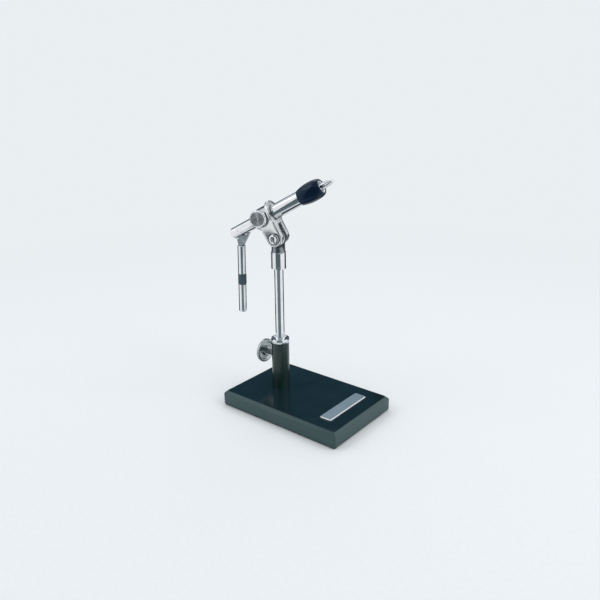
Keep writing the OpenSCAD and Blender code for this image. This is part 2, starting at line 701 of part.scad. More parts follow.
// Jaws: one half cone, mirrored for the other
module jaw_half() {
    difference() {
        rotate([0, 90, 0]) rotate_extrude() polygon([[0, jaw_foot_x], [jaw_foot_r, jaw_foot_x],
            [jaw_foot_r, jaw_foot_x + jaw_foot_l], [jaw_r, jaw_foot_x + jaw_foot_l],
            [jaw_r, collar_front_x], [jaw_tip_r, jaw_tip_x - jaw_tip_round],
            [jaw_tip_r - jaw_tip_round, jaw_tip_x], [0, jaw_tip_x]]);
        translate([0, chamber_d, 0]) rotate([90, 0, 0]) linear_extrude(2 * chamber_d) polygon([
            [jaw_foot_x - over, -chamber_d], [jaw_foot_x - over, slit_w / 2], [collar_front_x, slit_w / 2],
            [jaw_tip_x - slit_flat_l, slit_tip_w / 2], [jaw_tip_x + over, slit_tip_w / 2],
            [jaw_tip_x + over, -chamber_d]]);
        translate([jaw_foot_x, chamber_d, slit_w / 2]) rotate([90, 0, 0])
            linear_extrude(2 * chamber_d) difference() {
                translate([-over, -over]) square(jaw_heel_r + over);
                translate([jaw_heel_r, jaw_heel_r]) circle(r = jaw_heel_r);
            }
    }
}
module jaw_upper() color([0.8, 0.8, 0.82]) head_frame() jaw_half();
module jaw_lower() color([0.8, 0.8, 0.82]) head_frame() mirror([0, 0, 1]) jaw_half();

// Lever
module lever_tang() color([0.4, 0.41, 0.43]) lever_frame() {
    difference() {
        translate([0, tang_t / 2, 0]) rotate([90, 0, 0]) linear_extrude(tang_t) {
            translate([cam_throw * cos(cam_angle), cam_throw * sin(cam_angle)]) circle(r = cam_r);
            polygon([[-neck_half, 0], [-neck_half, -tang_l / 2], [neck_half, -tang_l / 2], [neck_half, 0]]);
            polygon([[-flare_foot, -tang_l], [flare_foot, -tang_l],
                in_lever([flare_front, flare_z]), in_lever([flare_rear, flare_z])]);
        }
        across(-tang_t) cylinder(d = pin_d + 2 * run_gap, h = 2 * tang_t);
    }
    translate([0, 0, -tang_l - lever_spigot_l]) cylinder(d = lever_spigot_d, h = lever_spigot_l + over);
}
module lever_rod() color([0.85, 0.86, 0.88]) lever_frame() difference() {
    union() {
        translate([0, 0, -band_at]) bevelled_rod(grip_d, band_at - tang_l, fine_bevel);
        translate([0, 0, -band_at - band_stud_l])
            cylinder(d = band_stud_d, h = band_stud_l + over, $fn = small_fn);
    }
    translate([0, 0, -tang_l - lever_spigot_l - part_gap])
        cylinder(d = lever_spigot_d + 2 * seat_gap, h = lever_spigot_l + part_gap + over);
}
module lever_band() color([0.1, 0.12, 0.14]) lever_frame() translate([0, 0, -band_at - band_l])
    difference() {
        rotate_extrude() polygon(concat([[0, 0]],
            [for (i = [0 : 2 * band_ribs]) [grip_d / 2 + i % 2 * band_rib, i * band_step]],
            [[0, band_l]]));
        translate([0, 0, -over]) cylinder(d = band_stud_d + 2 * seat_gap, h = band_l + 2 * over);
    }
module lever_tip() color([0.75, 0.76, 0.77]) lever_frame() translate([0, 0, -lever_l]) difference() {
    rotate_extrude() polygon(concat([[0, 0]],
        [for (a = [0 : 22.5 : 90]) [tip_mid_r + tip_round * sin(a), tip_round - tip_round * cos(a)]],
        [[grip_d / 2, tip_l], [0, tip_l]]));
    translate([0, 0, tip_l - band_stud_in - part_gap])
        cylinder(d = band_stud_d + 2 * seat_gap, h = band_stud_l);
}

base_plate();
base_pad();
front_plate();
post_tube();
post_ring();
post_bolt();
post_bolt_washer();
thumb_knob();
thumb_stud();
pressure_pad();
stem_rod();
socket_sleeve();
socket_tongue();
socket_screw();
clamp_housing();
bearing_rear();
bearing_front();
pivot_bolt();
pivot_washers();
pivot_nut();
side_knob();
side_stud();
brake_pad();
barrel_tube();
barrel_clip();
lever_pin();
return_spring();
jaw_collar();
nose_ring();
push_rod();
jaw_upper();
jaw_lower();
lever_tang();
lever_rod();
lever_band();
lever_tip();
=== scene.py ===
# %% [markdown]
# # Fly tying vise
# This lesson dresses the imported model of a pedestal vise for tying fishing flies. The model gives every
# part its size and place. Here the parts that a lathe, a knurling tool or a file finished on the real
# vise get that finish, and every surface gets the material that it is made of. Lengths in the cells are
# millimetres, which MM turns into Blender's metres. Names that end in _M, and the places and sizes of the
# lamps, are metres already.

# %% Load the frame
import json
import math

import bpy
from mathutils import Matrix, Vector

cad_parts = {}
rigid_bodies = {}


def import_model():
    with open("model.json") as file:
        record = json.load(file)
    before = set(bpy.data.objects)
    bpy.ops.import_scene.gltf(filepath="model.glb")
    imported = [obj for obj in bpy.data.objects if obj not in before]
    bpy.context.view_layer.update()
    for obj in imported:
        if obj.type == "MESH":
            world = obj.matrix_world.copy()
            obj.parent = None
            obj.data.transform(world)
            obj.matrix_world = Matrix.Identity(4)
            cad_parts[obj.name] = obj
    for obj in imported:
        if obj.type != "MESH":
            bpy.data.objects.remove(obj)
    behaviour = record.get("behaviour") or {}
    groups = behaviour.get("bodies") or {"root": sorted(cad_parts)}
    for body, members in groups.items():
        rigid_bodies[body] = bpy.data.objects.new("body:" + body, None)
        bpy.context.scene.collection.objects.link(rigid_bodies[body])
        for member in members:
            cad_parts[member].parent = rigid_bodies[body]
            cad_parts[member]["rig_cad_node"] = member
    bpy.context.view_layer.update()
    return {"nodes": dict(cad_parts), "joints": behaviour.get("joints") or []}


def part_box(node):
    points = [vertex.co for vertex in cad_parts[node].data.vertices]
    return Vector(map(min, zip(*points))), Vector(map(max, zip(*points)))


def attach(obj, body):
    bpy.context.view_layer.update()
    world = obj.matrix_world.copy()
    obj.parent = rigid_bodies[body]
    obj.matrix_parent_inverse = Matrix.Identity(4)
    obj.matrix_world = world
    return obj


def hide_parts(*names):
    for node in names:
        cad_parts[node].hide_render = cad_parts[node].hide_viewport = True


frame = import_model()
MM = 0.001
joints = {joint["name"]: joint for joint in frame["joints"]}

# %% [markdown]
# ## Camera
# The photograph was taken from in front and to the right, a little above the vise, with a normal lens.
# A camera is placed most safely by the point that it looks at, its distance and its angles, because each
# of these can then be read off the picture by itself. The small roll matches a camera held slightly askew.

# %% Camera
LOOK_AT = Vector((4.25, 29.79, 110.0)) * MM
CAMERA_DISTANCE = 701.83 * MM
CAMERA_AZIMUTH = math.radians(38.915)
CAMERA_ELEVATION = math.radians(19.214)
CAMERA_ROLL = math.radians(-0.551)
LENS, SENSOR = 38.0, 36.0
NEAR_LIMIT = 10 * MM
aim = (Matrix.Rotation(CAMERA_AZIMUTH, 4, "Z")
       @ Matrix.Rotation(math.pi / 2 - CAMERA_ELEVATION, 4, "X")
       @ Matrix.Rotation(CAMERA_ROLL, 4, "Z"))
bpy.ops.object.camera_add()
camera = bpy.context.object
camera.name = "photo_camera"
camera.matrix_world = Matrix.Translation(LOOK_AT) @ aim @ Matrix.Translation((0, 0, CAMERA_DISTANCE))
camera.data.lens = LENS
camera.data.sensor_width = SENSOR
camera.data.clip_start = NEAR_LIMIT
bpy.context.scene.camera = camera
print("camera at", tuple(round(v, 3) for v in camera.matrix_world.translation))

# %% [markdown]
# ## Axes of the vise
# Each turned part is drawn round Z and then laid along its own axis. The joints of the model hold these
# axes, so the parts follow the model if it is ever changed.

# %% Axes
def axes(origin, along, side):
    """Matrix that lays local Z along a direction, with local X towards the side."""
    z = Vector(along).normalized()
    x = (Vector(side) - z * Vector(side).dot(z)).normalized()
    lay = Matrix((x, z.cross(x), z)).transposed().to_4x4()
    return Matrix.Translation(Vector(origin)) @ lay


# The lever leans back, the side knob stands behind and above the barrel's joint, and the thumb screw
# stands behind the post's axis.
LEVER_LEAN = math.radians(30.2)
SIDE_BACK, SIDE_UP = 4.6, 1.2
THUMB_Z, THUMB_REACH = 53.0, 20.3
UP = Vector((0, 0, 1))
barrel_at = Vector(joints["barrel_spin"]["pos_m"])
barrel_axis = Vector(joints["barrel_spin"]["axis"])
far_side = Vector(joints["lever_swing"]["axis"])
barrel_up = barrel_axis.cross(far_side)
on_barrel = axes(barrel_at, barrel_axis, barrel_up)
lever_down = -math.sin(LEVER_LEAN) * barrel_axis - math.cos(LEVER_LEAN) * barrel_up
on_lever = axes(joints["lever_swing"]["pos_m"], lever_down, far_side)
side_at = barrel_at - barrel_axis * SIDE_BACK * MM + barrel_up * SIDE_UP * MM
on_side = axes(side_at, -far_side, barrel_axis)
on_pivot = axes(joints["head_tilt"]["pos_m"], joints["head_tilt"]["axis"], barrel_axis)
on_thumb = axes((-THUMB_REACH * MM, 0, THUMB_Z * MM), (-1, 0, 0), UP)
as_drawn = Matrix.Identity(4)
print("barrel points along", tuple(round(v, 3) for v in barrel_axis))

# %% [markdown]
# ## Helpers for materials
# Colours are written as hex values, the way a paint chart or a picture gives them. Blender mixes light in
# linear values, so one function does the conversion. A second one adds a node with its settings and links,
# which keeps each material readable as a list of what goes into what. Most patterns here are noise. Its
# values crowd round the middle, so only the part between two limits is spread over the range asked for.

# %% Material helpers
NOISE_LOW, NOISE_HIGH = 0.35, 0.65


def linear(hex_code):
    """Turns an sRGB hex colour into the linear RGBA that shaders use."""
    shares = [int(hex_code[i:i + 2], 16) / 255 for i in (0, 2, 4)]
    return tuple(s / 12.92 if s <= 0.04045 else ((s + 0.055) / 1.055) ** 2.4 for s in shares) + (1.0,)


def link(material, source, target):
    """Joins an output of one node to an input of another."""
    material.node_tree.links.new(source, target)


def add_node(material, kind, settings=None, links=None):
    """Adds one node, sets its values and links its inputs."""
    node = material.node_tree.nodes.new(kind)
    for name, value in (settings or {}).items():
        if name in node.inputs:
            node.inputs[name].default_value = value
        else:
            setattr(node, name, value)
    for name, source in (links or {}).items():
        link(material, source, node.inputs[name])
    return node


def new_finish(name, colour, metallic, roughness, **settings):
    """Starts a material and returns it with its shader and the object coordinates in metres."""
    material = bpy.data.materials.new(name)
    material.use_nodes = True
    material.diffuse_color = linear(colour)
    shader = material.node_tree.nodes["Principled BSDF"]
    values = {"Base Color": linear(colour), "Metallic": metallic, "Roughness": roughness, **settings}
    for key, value in values.items():
        shader.inputs[key].default_value = value
    where = add_node(material, "ShaderNodeTexCoord").outputs["Object"]
    return material, shader, where


def per_metre(millimetres):
    """Texture scale at which one cell of the pattern is this many millimetres wide."""
    return 1 / (millimetres * MM)


def vary(material, shader, where, socket, low, high, size_mm, detail=3.0):
    """Lets a value of the shader drift between two amounts, over patches of a real size."""
    patches = add_node(material, "ShaderNodeTexNoise",
                       {"Scale": per_metre(size_mm), "Detail": detail}, {"Vector": where})
    spread = add_node(material, "ShaderNodeMapRange",
                      {"From Min": NOISE_LOW, "From Max": NOISE_HIGH, "To Min": low, "To Max": high},
                      {"Value": patches.outputs["Fac"]})
    link(material, spread.outputs["Result"], shader.inputs[socket])
    return patches


def tint(material, shader, patches, colour_a, colour_b):
    """Mixes two close colours by the same patches, so that a surface isn't one flat colour."""
    ramp = add_node(material, "ShaderNodeValToRGB", {}, {"Fac": patches.outputs["Fac"]})
    ends = zip(ramp.color_ramp.elements, (NOISE_LOW, NOISE_HIGH), (colour_a, colour_b))
    for element, position, colour in ends:
        element.position = position
        element.color = linear(colour)
    link(material, ramp.outputs["Color"], shader.inputs["Base Color"])


def bump(material, shader, height, depth_mm):
    """Raises the surface by a height pattern, with its real depth in millimetres."""
    relief = add_node(material, "ShaderNodeBump", {"Distance": depth_mm * MM}, {"Height": height})
    link(material, relief.outputs["Normal"], shader.inputs["Normal"])


# %% [markdown]
# ## Enamels
# The base is a heavy plate under glossy black stoving enamel, and the post has the same paint with less
# gloss. Sprayed enamel never dries quite flat: it keeps a shallow orange peel a millimetre or two across,
# which breaks up the edges of reflections, and fine dust dulls it here and there. A noise bump of that
# size, about a hundredth of a millimetre deep, and a roughness that drifts over centimetres give both. The
# cut and the sides of the base are satin, with long faint marks from the rubbing-down. There a Mapping node
# draws the same noise out along the plate, 25 times as long as it is high, and the colour follows it. Their
# colour is also a lighter teal than the top's: a painted sheen, standing for the light that these faces
# catch.

# %% Enamel finishes
DUST_SIZE, PEEL_DEPTH = 18, 0.014


def enamel(name, colour, shade, rough_low, rough_high, peel_mm, drawn_out=None, **settings):
    """A painted or moulded finish, with dust over centimetres and a shallow peel."""
    material, shader, where = new_finish(name, colour, 0.0, rough_low, **settings)
    dust = vary(material, shader, where, "Roughness", rough_low, rough_high, DUST_SIZE)
    if drawn_out:
        marks = add_node(material, "ShaderNodeMapping", {"Scale": drawn_out}, {"Vector": where})
        where = marks.outputs["Vector"]
    peel = add_node(material, "ShaderNodeTexNoise", {"Scale": per_metre(peel_mm), "Detail": 1.5},
                    {"Vector": where})
    tint(material, shader, peel if drawn_out else dust, colour, shade)
    bump(material, shader, peel.outputs["Fac"], PEEL_DEPTH)
    return material


base_enamel = enamel("gloss_black_stoving_enamel", "12242a", "14282f", 0.13, 0.17, 1.6,
                     **{"Specular IOR Level": 0.4})
# The cut and the sides: satin, and lighter than the top, which is a painted sheen.
edge_enamel_painted_sheen = enamel("satin_enamel_with_painted_sheen", "2a484b", "244144", 0.30, 0.40, 1.4, (0.04, 0.04, 1.0),
                     **{"Specular IOR Level": 0.5})
post_enamel = enamel("satin_black_stoving_enamel", "0f2824", "15302b", 0.22, 0.30, 1.1,
                     **{"Specular IOR Level": 0.5})
print("enamels ready")

# %% [markdown]
# ## Chrome and bright steel
# Chrome plate over a polished tube is nearly a mirror. What tells it from a computer mirror is a faint
# haze and hairline wiping scratches, which show as a roughness that changes a little from place to place.
# The scratches on the real plate are thinner than a pixel, so they are drawn 0.3 mm apart here. The other
# metals are made alike, each with the haze and the grain that its tool leaves: fine for ground tool steel,
# coarser for machined aluminium, and drawn out along Z where a cloth or a file was pulled.

# %% Bright metal finishes
HAZE_SIZE, HAZE_DETAIL = 7, 4.0


def bright_metal(name, colour, shade, rough_low, rough_high, grain_mm, grain_depth, stretch=(1, 1, 1)):
    """A bare or plated metal, hazy in patches, with a fine grain that can be drawn out."""
    material, shader, where = new_finish(name, colour, 1.0, rough_low)
    haze = vary(material, shader, where, "Roughness", rough_low, rough_high, HAZE_SIZE, HAZE_DETAIL)
    tint(material, shader, haze, colour, shade)
    drawn_out = add_node(material, "ShaderNodeMapping", {"Scale": stretch}, {"Vector": where})
    grain = add_node(material, "ShaderNodeTexNoise", {"Scale": per_metre(grain_mm), "Detail": 2.0},
                     {"Vector": drawn_out.outputs["Vector"]})
    bump(material, shader, grain.outputs["Fac"], grain_depth)
    return material


# Plated parts: sharp bands of light, a little softer on the barrel.
chrome = bright_metal("polished_chrome_plate", "d9dcdf", "cfd3d7", 0.05, 0.10, 0.3, 0.0006, (1, 1, 0.2))
barrel_chrome = bright_metal("polished_chrome_barrel", "dcdee0", "d0d3d6", 0.06, 0.12, 0.3, 0.0008)
# The housing: pale, with wide soft highlights.
satin_aluminium = bright_metal("machined_satin_aluminium", "d8dadb", "c9cccd", 0.20, 0.32, 0.5, 0.004)
# Steels: bright from the lathe, nickelled, filed, dark from the lathe, and ground. The finer the work, the
# paler the metal and the narrower its highlights.
plain_steel = bright_metal("bright_turned_steel", "b4b8bb", "a5a9ad", 0.16, 0.26, 0.4, 0.002)
knob_steel = bright_metal("nickelled_knob_steel", "b9c0c0", "a3aaaa", 0.16, 0.26, 0.4, 0.002)
tang_steel = bright_metal("filed_mild_steel", "868e91", "6f787b", 0.22, 0.34, 0.5, 0.006, (1, 1, 0.15))
dark_steel = bright_metal("dark_turned_steel", "8a9193", "767d80", 0.22, 0.34, 0.4, 0.003)
jaw_steel = bright_metal("ground_tool_steel", "e2e4e6", "d2d5d8", 0.12, 0.20, 0.35, 0.002)
# The faces of the jaws' slit, dark as painted shade, so that the slit reads as a dark line.
slit_painted_shade = bright_metal("painted_shade_slit_faces", "33373a", "2a2e30", 0.40, 0.52, 0.4, 0.004)
# Bushes and pressure pad: a dull brown metal, rough all over.
bronze = bright_metal("sintered_bearing_bronze", "7d6748", "69563c", 0.35, 0.5, 0.3, 0.004)
print("bright metals ready")

# %% [markdown]
# ## Brushed plate
# The small plate on the base is bare aluminium, brushed along its length. A noise stretched along the
# brushing direction makes the strokes: 0.25 mm across, which is as fine as this picture can show.

# %% Brushed plate finish
STROKE_W, STROKE_DEPTH = 0.25, 0.004
brushed_plate, shader, where = new_finish("brushed_aluminium_plate", "a9adb0", 1.0, 0.5)
along_y = add_node(brushed_plate, "ShaderNodeMapping", {"Scale": (1, 0.02, 1)}, {"Vector": where})
strokes = add_node(brushed_plate, "ShaderNodeTexNoise", {"Scale": per_metre(STROKE_W), "Detail": 3.0},
                   {"Vector": along_y.outputs["Vector"]})
tint(brushed_plate, shader, strokes, "98a9b4", "8799a5")
bump(brushed_plate, shader, strokes.outputs["Fac"], STROKE_DEPTH)
print("brushed plate ready")

# %% [markdown]
# ## Collar lacquer, rubber and plastic
# The collar is turned steel under thick, glossy, blue-black lacquer. A blue Specular Tint cools its gloss.
# The sheet under the base is black rubber, and the band on the lever is a greyer green one: both have
# nearly no gloss and the fine grain of their mould. The brake pad is natural nylon, a milky plastic. All
# four are made as the enamels are, because they too are a smooth skin with a shallow relief.

# %% Non-metal finishes
collar_black = enamel("glossy_black_lacquer", "0a1626", "0e1d30", 0.12, 0.2, 2.4,
                      **{"Specular IOR Level": 0.45, "Specular Tint": linear("7f9fbf")})
black_rubber = enamel("moulded_black_rubber", "14191b", "1b2123", 0.52, 0.66, 0.5,
                      **{"Specular IOR Level": 0.35})
band_rubber = enamel("ribbed_band_rubber", "28434a", "405a5e", 0.50, 0.62, 0.9,
                     **{"Specular IOR Level": 0.35})
natural_nylon = enamel("natural_nylon", "ddd9cb", "d2cdbd", 0.4, 0.5, 0.8)
print("lacquer, rubber and nylon ready")

# %% [markdown]
# ## Outline of a turned part
# Most of a vise comes off a lathe, and half of a turned part's section says all about it. It is drawn as a
# chain of vertices beside the axis. The chain starts from one vertex, which is what is left of a small
# plane when its corners are merged, and grows by extrusion, as it would by hand.

# %% Outline
def only(piece, mode="OBJECT"):
    """Selects one object and nothing else, in the mode asked for."""
    if bpy.context.object and bpy.context.object.mode != "OBJECT":
        bpy.ops.object.mode_set(mode="OBJECT")
    bpy.ops.object.select_all(action="DESELECT")
    piece.select_set(True)
    bpy.context.view_layer.objects.active = piece
    bpy.ops.object.mode_set(mode=mode)


def outline(name, points):
    """Draws an open chain of (radius, height) points, in millimetres, in the plane y = 0."""
    bpy.ops.object.select_all(action="DESELECT")
    bpy.ops.mesh.primitive_plane_add(size=MM)
    piece = bpy.context.object
    piece.name = name
    bpy.ops.object.mode_set(mode="EDIT")
    bpy.ops.mesh.select_mode(type="VERT")
    bpy.ops.mesh.select_all(action="SELECT")
    bpy.ops.mesh.merge(type="CENTER")
    at = Vector((points[0][0], 0, points[0][1])) * MM
    bpy.ops.transform.translate(value=at)
    for radius, height in points[1:]:
        goal = Vector((radius, 0, height)) * MM
        bpy.ops.mesh.extrude_region_move(TRANSFORM_OT_translate={"value": goal - at})
        at = goal
    bpy.ops.object.mode_set(mode="OBJECT")
    return piece


# %% [markdown]
# ## Lathe and soft edges
# Blender's lathe is Spin: it carries the outline round the axis, and where it arrives at its start the
# doubled vertices are merged. A real edge is never quite sharp, and its small radius catches a line of
# light. The Bevel modifier rounds each edge that is sharper than an angle, and smoothing by angle leaves
# the faces between them crisp.

# %% Lathe
SMOOTH_ANGLE, SMOOTH_MARGIN = 35, 5
WELD_M = 1e-6


def soften(piece, width_mm, angle=30, segments=2):
    """Rounds edges sharper than an angle in degrees, so that they catch the light as real ones do."""
    only(piece)
    edge = piece.modifiers.new("soft_edges", "BEVEL")
    edge.width = width_mm * MM
    edge.segments = segments
    edge.limit_method = "ANGLE"
    edge.angle_limit = math.radians(angle)
    edge.use_clamp_overlap = True
    bpy.ops.object.modifier_apply(modifier=edge.name)
    bpy.ops.object.shade_smooth_by_angle(angle=math.radians(angle + SMOOTH_MARGIN))


def turned(name, points, soft_mm=0.12, steps=96):
    """Spins an outline round Z and rounds its edges."""
    piece = outline(name, points)
    only(piece, "EDIT")
    bpy.ops.mesh.select_all(action="SELECT")
    bpy.ops.mesh.spin(steps=steps, angle=2 * math.pi, center=(0, 0, 0), axis=(0, 0, 1))
    bpy.ops.mesh.select_all(action="SELECT")
    bpy.ops.mesh.remove_doubles(threshold=WELD_M)
    bpy.ops.mesh.normals_make_consistent(inside=False)
    if soft_mm:
        soften(piece, soft_mm)
    only(piece)
    bpy.ops.object.shade_smooth_by_angle(angle=math.radians(SMOOTH_ANGLE))
    return piece


# %% [markdown]
# ## Helpers for flat parts and holes
# A flat face between rounded edges should look flat. Weighted Normal gives it its own direction and lets
# only the small radii turn. A hole is cut as a drill cuts it: its shape is made as a piece of its own, and
# the Boolean modifier takes it away.

# %% Flat faces and holes
def even_shading(piece):
    """Keeps large flat faces flat to the eye, so that only the small radii round the edges turn."""
    only(piece)
    even = piece.modifiers.new("even_shading", "WEIGHTED_NORMAL")
    even.keep_sharp = True
    bpy.ops.object.modifier_apply(modifier=even.name)


def cut_away(piece, cutter):
    """Takes the cutter's shape out of a piece and removes the cutter."""
    only(piece)
    cut = piece.modifiers.new("cut", "BOOLEAN")
    cut.operation = "DIFFERENCE"
    cut.solver = "EXACT"
    cut.object = cutter
    bpy.ops.object.modifier_apply(modifier=cut.name)
    bpy.data.objects.remove(cutter)


# %% [markdown]
# ## Setting a piece in its place
# Every new piece goes through the same last steps: its place goes into its mesh, it gets its finish, it
# rides on a body of the model and stands for the model's own part. A machinist seldom finishes a whole
# part alike, so where a face is worked in another way the piece gets a second material, and a short rule
# on the direction of its faces says which ones take it.

# %% Settling and second finish
def settle(piece, where, body, finish, slot, *nodes):
    """Moves a piece to its place in its mesh, paints it, and lets it ride and stand for its nodes."""
    only(piece)
    piece.matrix_world = where
    bpy.ops.object.transform_apply(location=True, rotation=True, scale=True)
    piece.data.materials.clear()
    piece.data.materials.append(finish)
    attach(piece, body)
    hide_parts(*nodes)
    print(piece.name, len(piece.data.polygons), "faces")


def refinish(piece, finish, along, low, high):
    """Gives a second finish to the faces whose cosine with a direction lies between two limits."""
    piece.data.materials.append(finish)
    chosen = [face for face in piece.data.polygons if low <= face.normal.dot(along) <= high]
    for face in chosen:
        face.material_index = 1
    print(piece.name, len(chosen), "faces refinished")


# %% [markdown]
# ## Plates with a cut top edge
# The base and the small plate on it are both plates whose top edge is cut at 45 degrees. A cube is scaled
# to the plate's size, its top edge is cut, and then the four corners are rounded, with the mitres of the
# cut above them. The cut comes first, because a cut wider than the corner's radius would fold over itself.

# %% Plate with a cut edge
LEVEL_LIMIT = 0.9
ALIKE_WITHIN = 0.1
CORNER_STEPS = 6


def slab(name, size, corner, cut):
    """A plate with a cut top edge and rounded corners, centred on the origin, sizes in millimetres."""
    bpy.ops.object.select_all(action="DESELECT")
    bpy.ops.mesh.primitive_cube_add(size=1)
    piece = bpy.context.object
    piece.name = name
    piece.scale = Vector(size) * MM
    bpy.ops.object.transform_apply(scale=True)
    only(piece, "EDIT")
    bpy.ops.mesh.select_mode(type="FACE")
    bpy.ops.mesh.select_all(action="DESELECT")
    bpy.ops.object.mode_set(mode="OBJECT")
    for face in piece.data.polygons:
        face.select = face.normal.z > LEVEL_LIMIT
    bpy.ops.object.mode_set(mode="EDIT")
    bpy.ops.mesh.bevel(offset=cut * MM, segments=1)
    bpy.ops.mesh.select_mode(type="EDGE")
    bpy.ops.mesh.select_all(action="DESELECT")
    bpy.ops.object.mode_set(mode="OBJECT")
    # A corner's upright edge runs straight up, and a mitre goes in on both sides alike while it rises.
    for edge in piece.data.edges:
        start, end = (piece.data.vertices[i].co / MM for i in edge.vertices)
        run = start - end
        rises = abs(run.z) > cut / 2
        at_the_ends = abs(start.x) > size[0] / 2 - 2 * cut
        alike = abs(abs(run.x) - abs(run.y)) < ALIKE_WITHIN
        edge.select = rises and at_the_ends and alike
    bpy.ops.object.mode_set(mode="EDIT")
    bpy.ops.mesh.bevel(offset=corner * MM, segments=CORNER_STEPS)
    bpy.ops.object.mode_set(mode="OBJECT")
    return piece


# %% [markdown]
# ## Base
# The base is a thick, heavy plate on a thin rubber sheet. After the cut and the corners every edge gets a
# small radius, because paint never leaves one sharp. The cut and the sides then take the satin enamel,
# whose lighter colour is a painted sheen, by the rule that their faces don't look straight up or down.

# %% Base plate
BASE_L, BASE_W, BASE_T = 152.0, 102.0, 15.5
PAD_T = 1.5
BASE_X = 35.0
CORNER_R, TOP_CUT, PAINT_R = 2.5, 3.3, 0.45
base = slab("base_plate_enamelled", (BASE_L, BASE_W, BASE_T), CORNER_R, TOP_CUT)
soften(base, PAINT_R, segments=3)
settle(base, Matrix.Translation(Vector((BASE_X, 0, PAD_T + BASE_T / 2)) * MM), "base", base_enamel,
       "base_enamel", "base_plate")
# The cut and the sides take the lighter enamel, a painted sheen.
refinish(base, edge_enamel_painted_sheen, UP, -LEVEL_LIMIT, LEVEL_LIMIT)

# %% [markdown]
# ## Seat of the post
# The post stands in a round pocket of the base and is bolted from below, through a hole with a wider
# recess for the washer. Seen from above only the seam round the post shows, but the stem reaches down into
# the pocket when the head is lowered, so the pocket has to be real. Its shape is turned as one piece and
# cut away. A cut loses the smooth shading of the rest, so both steps of the shading are run again.

# %% Seat of the post
SEAT_GAP, RECESS_GAP, BOLT_HOLE_R = 0.01, 0.2, 3.2
tube_low, tube_high = (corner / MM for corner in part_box("post_tube"))
washer_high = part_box("post_bolt_washer")[1] / MM
seat_r = tube_high.x + SEAT_GAP
recess_r = washer_high.x + RECESS_GAP
seat = turned("post_seat", [
    (0, 0), (recess_r, 0), (recess_r, washer_high.z), (BOLT_HOLE_R, washer_high.z),
    (BOLT_HOLE_R, tube_low.z), (seat_r, tube_low.z), (seat_r, tube_high.z), (0, tube_high.z)], soft_mm=0)
cut_away(base, seat)
only(base)
bpy.ops.object.shade_smooth_by_angle(angle=math.radians(SMOOTH_ANGLE))
even_shading(base)
print("post seat", round(PAD_T + BASE_T - tube_low.z, 1), "mm deep")

# %% [markdown]
# ## Small plate
# The plate on the front end of the base is bare. It is made as the base was, with a much smaller cut. On
# the real plate a sharp tool cuts the edge after the brushing, so the cut is bright and draws a light line
# round the face.

# %% Small plate
PLATE_L, PLATE_W, PLATE_T = 65.0, 14.0, 1.2
PLATE_X = 85.3
PLATE_CORNER_R, PLATE_CUT, PLATE_EDGE_R = 1.2, 0.7, 0.06
plate = slab("bare_front_plate", (PLATE_W, PLATE_L, PLATE_T), PLATE_CORNER_R, PLATE_CUT)
soften(plate, PLATE_EDGE_R)
settle(plate, Matrix.Translation(Vector((PLATE_X, 0, PAD_T + BASE_T + PLATE_T / 2)) * MM), "base",
       brushed_plate, "bare_aluminium", "front_plate")
refinish(plate, chrome, UP, -LEVEL_LIMIT, LEVEL_LIMIT)
even_shading(plate)

# %% [markdown]
# ## Ring on the post
# The bright ring has a wide countersunk mouth that leads the stem in. Its outline runs up the outside,
# over the rim, down the cone and through the bore, and closes on itself.

# %% Post ring
POST_TOP = 69.4
RING_R, RING_H, RING_BORE_R = 10.0, 4.6, 5.2
MOUTH_R, MOUTH_FOOT = 8.55, 1.4
SPIGOT_R, SPIGOT_L = 6.9, 4.0
RING_CUT, RIM_CUT, RIM_CUT_H = 0.35, 0.3, 0.4
ring = turned("post_ring_chromed", [
    (RING_R, RING_CUT), (RING_R, RING_H - RIM_CUT_H), (RING_R - RIM_CUT, RING_H), (MOUTH_R, RING_H),
    (RING_BORE_R, MOUTH_FOOT), (RING_BORE_R, -SPIGOT_L), (SPIGOT_R, -SPIGOT_L), (SPIGOT_R, 0),
    (RING_R - RING_CUT, 0), (RING_R, RING_CUT)], soft_mm=0.15)
settle(ring, Matrix.Translation((0, 0, POST_TOP * MM)), "base", chrome, "chrome", "post_ring")

# %% [markdown]
# ## Thumb screw
# The knob is stepped and dished on the side that faces the post, and its rim is knurled straight across
# so that wet fingers can grip it. The rim is spun with three faces to each groove, and every third face
# is then pushed inwards. The grooves run over the rim's cut edges too.

# %% Knurled knob
GROOVES, FACES_PER_GROOVE, GROOVE_DEPTH = 48, 3, 0.55
HUB_R, HUB_L, HUB_CUT = 5.5, 2.0, 0.4
STEP_R, STEP_H = 7.3, 1.0
KNURL_R, KNURL_W = 13.25, 4.0
KNURL_CUT_R, KNURL_CUT_W = 12.5, 0.7
DISH_FACE, KNOB_FACE = 0.55, 3.3
CLEAR_OF_FACE, KNURL_EDGE_R = 0.1, 0.08
hub = [(0, -HUB_L), (HUB_R - HUB_CUT, -HUB_L), (HUB_R, HUB_CUT - HUB_L), (HUB_R, STEP_H)]
dish = [(STEP_R, STEP_H), (STEP_R, DISH_FACE), (9.4, DISH_FACE), (10.2, 0)]
rim = [(KNURL_CUT_R, 0), (KNURL_R, KNURL_CUT_W), (KNURL_R, KNURL_W - KNURL_CUT_W), (KNURL_CUT_R, KNURL_W)]
outer_face = [(9.6, KNURL_W), (8.6, 3.5), (5.0, 3.5), (4.6, KNOB_FACE), (0, KNOB_FACE)]
knob = turned("thumb_knob_knurled", hub + dish + rim + outer_face, soft_mm=0,
              steps=GROOVES * FACES_PER_GROOVE)
only(knob, "EDIT")
bpy.ops.mesh.select_mode(type="FACE")
bpy.ops.mesh.select_all(action="DESELECT")
bpy.ops.object.mode_set(mode="OBJECT")
for face in knob.data.polygons:
    middle = face.center
    on_rim = math.hypot(middle.x, middle.y) > (KNURL_CUT_R + CLEAR_OF_FACE) * MM
    share = (math.atan2(middle.y, middle.x) % (2 * math.pi)) / (2 * math.pi)
    number = int(round(share * GROOVES * FACES_PER_GROOVE - 0.5))
    face.select = on_rim and number % FACES_PER_GROOVE == 0
bpy.ops.object.mode_set(mode="EDIT")
